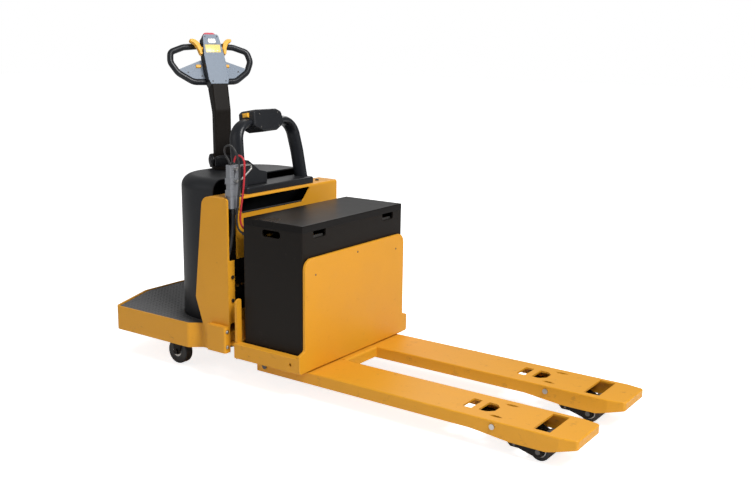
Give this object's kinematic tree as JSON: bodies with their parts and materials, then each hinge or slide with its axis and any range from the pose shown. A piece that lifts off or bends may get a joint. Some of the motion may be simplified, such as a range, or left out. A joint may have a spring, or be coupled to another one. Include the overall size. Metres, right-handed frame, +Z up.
{
  "type": "electric pallet truck",
  "caption": "End-rider electric pallet truck: forks with load wheels, battery in a lifting frame, steered drive unit with tilting tiller, rider platform and casters.",
  "frame": {"origin": "bounding box bottom centre, on the floor", "axes": "+X along the forks to their tips, +Y to the left of a driver facing the forks, +Z up"},
  "size_m": [2.476, 0.839, 1.5439],
  "materials": {
    "alloy": "as cast",
    "black_paint": "satin powder coat",
    "black_plastic": "fine grain",
    "cast": "painted casting",
    "cell": "stands in for lead plates in a plastic case",
    "grey_plastic": "fine grain",
    "lead_black": "cable jacket",
    "lead_red": "cable jacket",
    "mat_rubber": "moulded tread",
    "polyurethane": "cast",
    "red_plastic": "smooth",
    "steel": "zinc plated",
    "white_plastic": "smooth",
    "yellow_paint": "semi-gloss powder coat",
    "yellow_plastic": "smooth"
  },
  "bodies": {
    "tractor": {"chassis": "yellow_paint", "platform_frame": "yellow_paint", "platform_mat": "mat_rubber", "motor_cover": "black_plastic", "top_pad": "black_plastic", "grab_bar": "black_plastic", "bar_housing": "black_plastic", "jog_pod": "black_plastic", "top_bolts": "steel", "steer_mount": "black_paint", "hydraulic_pack": "black_paint", "controller": "alloy", "lift_cylinder": "black_paint", "connector": "grey_plastic", "plug_handle": "steel", "truck_cable": "lead_black"},
    "jog_switch": {"jog_button": "yellow_plastic"},
    "lift_frame": {"fork_left": "yellow_paint", "fork_right": "yellow_paint", "fork_pins": "steel", "battery_tray": "yellow_paint", "backrest": "yellow_paint", "guide_posts": "yellow_paint", "lift_ram": "steel", "battery_case": "black_paint", "battery_cells": "cell", "battery_lead_red": "lead_red", "battery_lead_black": "lead_black"},
    "battery_cover": {"battery_lid": "black_paint"},
    "heel_crank_body": {"heel_crank": "steel"},
    "load_arm_left_body": {"load_arm_left": "black_paint", "arm_pins_left": "steel"},
    "load_arm_right_body": {"load_arm_right": "black_paint", "arm_pins_right": "steel"},
    "load_wheel_left_body": {"load_wheel_left": "polyurethane"},
    "load_wheel_right_body": {"load_wheel_right": "polyurethane"},
    "entry_roller_left_body": {"entry_roller_left": "steel"},
    "entry_roller_right_body": {"entry_roller_right": "steel"},
    "pull_rod_left_body": {"pull_rod_left": "steel"},
    "pull_rod_right_body": {"pull_rod_right": "steel"},
    "caster_left_body": {"caster_fork_left": "steel"},
    "caster_right_body": {"caster_fork_right": "steel"},
    "caster_wheel_left_body": {"caster_wheel_left": "polyurethane"},
    "caster_wheel_right_body": {"caster_wheel_right": "polyurethane"},
    "steer_unit": {"gearbox": "cast", "drive_motor": "black_paint", "tiller_base": "black_paint", "tilt_pin": "steel"},
    "drive_wheel": {"drive_tyre": "polyurethane", "drive_hub": "cast"},
    "tiller": {"tiller_arm": "black_paint", "head_shell": "black_plastic", "face_panel": "grey_plastic", "handle_loop": "black_plastic", "wing_plates": "grey_plastic"},
    "throttle_body": {"throttle": "yellow_plastic"},
    "belly_button_body": {"belly_button": "red_plastic"},
    "horn_button_body": {"horn_button": "white_plastic"},
    "lift_button_body": {"lift_button": "yellow_plastic"},
    "lower_button_body": {"lower_button": "yellow_plastic"}
  },
  "joints": [
    {"name": "lift", "type": "slide", "parent": "tractor", "child": "lift_frame", "axis": [0, 0, 1], "range_m": [-0.045, 0.08], "deforming": ["battery_lead_red", "battery_lead_black"]},
    {"name": "battery_cover_lift", "type": "slide", "parent": "lift_frame", "child": "battery_cover", "axis": [0, 0, 1], "range_m": [0, 0.12]},
    {"name": "load_arm_left_swing", "type": "hinge", "parent": "lift_frame", "child": "load_arm_left_body", "pos_m": [0.898, 0.232, 0.106], "axis": [0, 1, 0], "range_deg": [-16, 28]},
    {"name": "load_wheel_left_spin", "type": "hinge", "parent": "load_arm_left_body", "child": "load_wheel_left_body", "pos_m": [1.07654, 0.232, 0.041], "axis": [0, 1, 0], "continuous": true},
    {"name": "entry_roller_left_spin", "type": "hinge", "parent": "load_arm_left_body", "child": "entry_roller_left_body", "pos_m": [0.978, 0.232, 0.046], "axis": [0, 1, 0], "continuous": true},
    {"name": "pull_rod_left_pin", "type": "hinge", "parent": "load_arm_left_body", "child": "pull_rod_left_body", "pos_m": [0.896, 0.232, 0.082], "axis": [0, 1, 0], "range_deg": [-28.7, 16.7]},
    {"name": "caster_left_swivel", "type": "hinge", "parent": "tractor", "child": "caster_left_body", "pos_m": [-0.767, 0.312, 0.164], "axis": [0, 0, 1], "continuous": true},
    {"name": "caster_wheel_left_spin", "type": "hinge", "parent": "caster_left_body", "child": "caster_wheel_left_body", "pos_m": [-0.795, 0.312, 0.06], "axis": [0, 1, 0], "continuous": true},
    {"name": "load_arm_right_swing", "type": "hinge", "parent": "lift_frame", "child": "load_arm_right_body", "pos_m": [0.898, -0.232, 0.106], "axis": [0, 1, 0], "range_deg": [-16, 28]},
    {"name": "load_wheel_right_spin", "type": "hinge", "parent": "load_arm_right_body", "child": "load_wheel_right_body", "pos_m": [1.07654, -0.232, 0.041], "axis": [0, 1, 0], "continuous": true},
    {"name": "entry_roller_right_spin", "type": "hinge", "parent": "load_arm_right_body", "child": "entry_roller_right_body", "pos_m": [0.978, -0.232, 0.046], "axis": [0, 1, 0], "continuous": true},
    {"name": "pull_rod_right_pin", "type": "hinge", "parent": "load_arm_right_body", "child": "pull_rod_right_body", "pos_m": [0.896, -0.232, 0.082], "axis": [0, 1, 0], "range_deg": [-28.7, 16.7]},
    {"name": "caster_right_swivel", "type": "hinge", "parent": "tractor", "child": "caster_right_body", "pos_m": [-0.767, -0.312, 0.164], "axis": [0, 0, 1], "continuous": true},
    {"name": "caster_wheel_right_spin", "type": "hinge", "parent": "caster_right_body", "child": "caster_wheel_right_body", "pos_m": [-0.795, -0.312, 0.06], "axis": [0, 1, 0], "continuous": true},
    {"name": "heel_crank_turn", "type": "hinge", "parent": "lift_frame", "child": "heel_crank_body", "pos_m": [-0.232, 0, 0.106], "axis": [0, 1, 0], "range_deg": [-16, 28]},
    {"name": "steering", "type": "hinge", "parent": "tractor", "child": "steer_unit", "pos_m": [-0.782, 0, 0.274], "axis": [0, 0, 1], "range_deg": [-65, 115]},
    {"name": "drive_wheel_spin", "type": "hinge", "parent": "steer_unit", "child": "drive_wheel", "pos_m": [-0.782, 0, 0.125], "axis": [0.4226, 0.9063, 0], "continuous": true},
    {"name": "tiller_tilt", "type": "hinge", "parent": "steer_unit", "child": "tiller", "pos_m": [-0.80828, 0.01226, 0.94], "axis": [0.4226, 0.9063, 0], "range_deg": [-80, 0], "stiffness_Nm_per_rad": 40, "springref_deg": 57.3},
    {"name": "throttle_turn", "type": "hinge", "parent": "tiller", "child": "throttle_body", "pos_m": [-0.9136, 0.06137, 1.4679], "axis": [0.4226, 0.9063, 0], "range_deg": [-15, 15], "stiffness_Nm_per_rad": 0.6},
    {"name": "belly_button_press", "type": "slide", "parent": "tiller", "child": "belly_button_body", "axis": [0.4115, -0.1919, -0.891], "range_m": [0, 0.006], "stiffness_N_per_m": 1500},
    {"name": "horn_button_press", "type": "slide", "parent": "tiller", "child": "horn_button_body", "axis": [-0.8075, 0.3766, -0.454], "range_m": [0, 0.003], "stiffness_N_per_m": 600},
    {"name": "lift_button_press", "type": "slide", "parent": "tiller", "child": "lift_button_body", "axis": [-0.8075, 0.3766, -0.454], "range_m": [0, 0.003], "stiffness_N_per_m": 600},
    {"name": "lower_button_press", "type": "slide", "parent": "tiller", "child": "lower_button_body", "axis": [-0.8075, 0.3766, -0.454], "range_m": [0, 0.003], "stiffness_N_per_m": 600},
    {"name": "jog_button_press", "type": "slide", "parent": "tractor", "child": "jog_switch", "axis": [0, 1, 0], "range_m": [0, 0.004], "stiffness_N_per_m": 800}
  ],
  "couplings": [
    {"joint": "load_arm_left_swing", "follows": "lift", "rad_per_m": 5.9341},
    {"joint": "pull_rod_left_pin", "follows": "lift", "rad_per_m": -5.9341},
    {"joint": "load_arm_right_swing", "follows": "lift", "rad_per_m": 5.9341},
    {"joint": "pull_rod_right_pin", "follows": "lift", "rad_per_m": -5.9341},
    {"joint": "heel_crank_turn", "follows": "lift", "rad_per_m": 5.9341}
  ]
}
